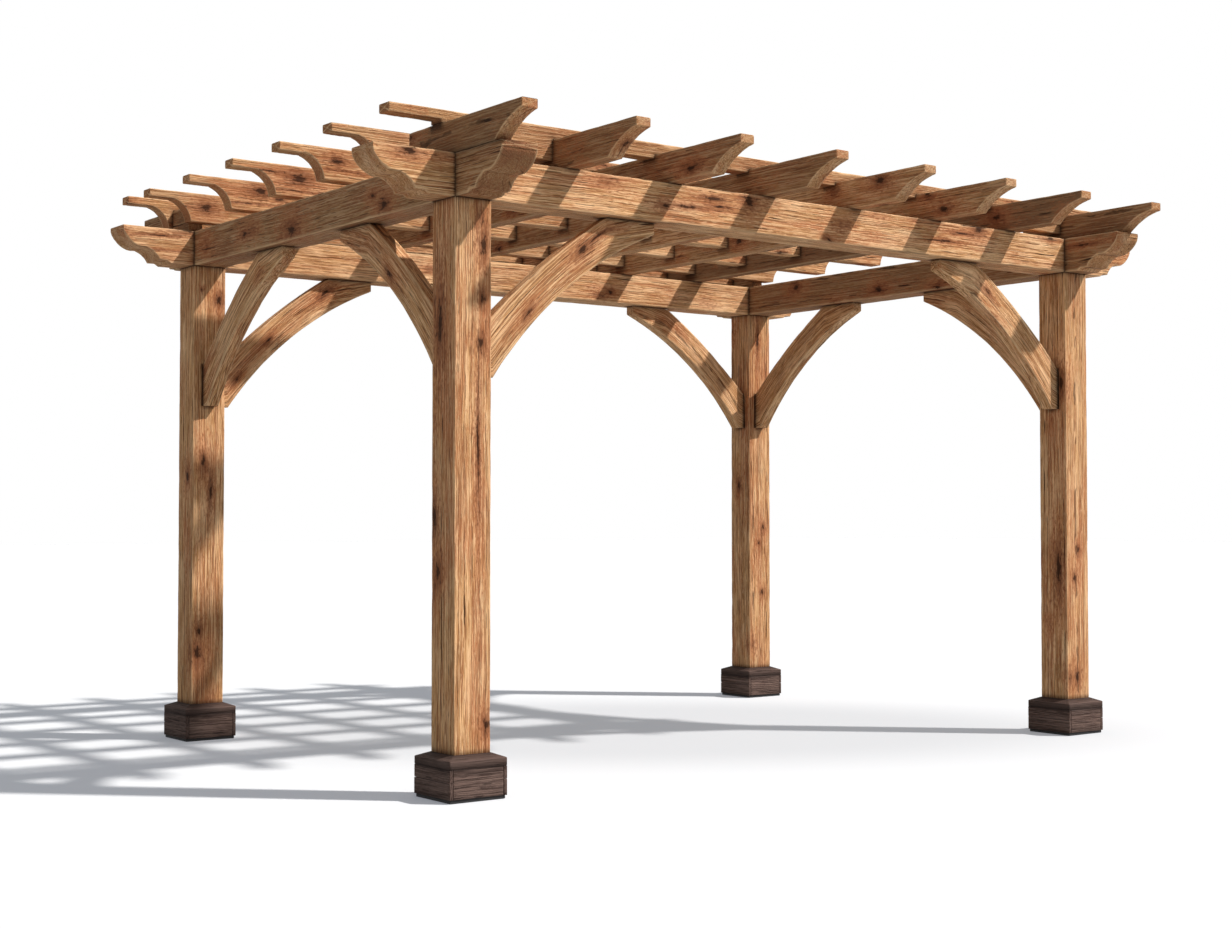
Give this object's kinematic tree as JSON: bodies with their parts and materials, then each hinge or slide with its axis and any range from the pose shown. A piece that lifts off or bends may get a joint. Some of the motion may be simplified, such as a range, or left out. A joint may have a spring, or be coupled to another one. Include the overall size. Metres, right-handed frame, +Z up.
{
  "type": "pergola",
  "caption": "Open wooden pergola: square posts on boxed bases carry beams with carved tails, curved knee braces and an open roof of rafters and purlins.",
  "frame": {"origin": "on the ground under the middle of the frame", "axes": "+X along the long side, +Y from the front long side to the back one, +Z up"},
  "size_m": [4.045, 3.14, 2.409],
  "materials": {
    "timber": "knotty sawn timber with a weathered honey stain",
    "base_timber": "dark brown stained boards",
    "pad": "matt black"
  },
  "bodies": {
    "root": {"post_front_left": "timber", "post_front_right": "timber", "post_back_left": "timber", "post_back_right": "timber", "pad_front_left": "pad", "pad_front_right": "pad", "pad_back_left": "pad", "pad_back_right": "pad", "skirt_front_left": "base_timber", "skirt_front_right": "base_timber", "skirt_back_left": "base_timber", "skirt_back_right": "base_timber", "cap_front_left": "base_timber", "cap_front_right": "base_timber", "cap_back_left": "base_timber", "cap_back_right": "base_timber", "beam_front": "timber", "beam_back": "timber", "beam_left": "timber", "beam_right": "timber", "brace_front_left_along": "timber", "brace_front_right_along": "timber", "brace_back_left_along": "timber", "brace_back_right_along": "timber", "brace_front_left_across": "timber", "brace_front_right_across": "timber", "brace_back_left_across": "timber", "brace_back_right_across": "timber", "corner_rafter_front_left": "timber", "corner_rafter_front_right": "timber", "corner_rafter_back_left": "timber", "corner_rafter_back_right": "timber", "rafter_1": "timber", "rafter_2": "timber", "rafter_3": "timber", "rafter_4": "timber", "rafter_5": "timber", "rafter_6": "timber", "purlin_1": "timber", "purlin_2": "timber", "purlin_3": "timber", "purlin_4": "timber", "purlin_5": "timber", "purlin_6": "timber", "purlin_7": "timber"}
  },
  "joints": []
}
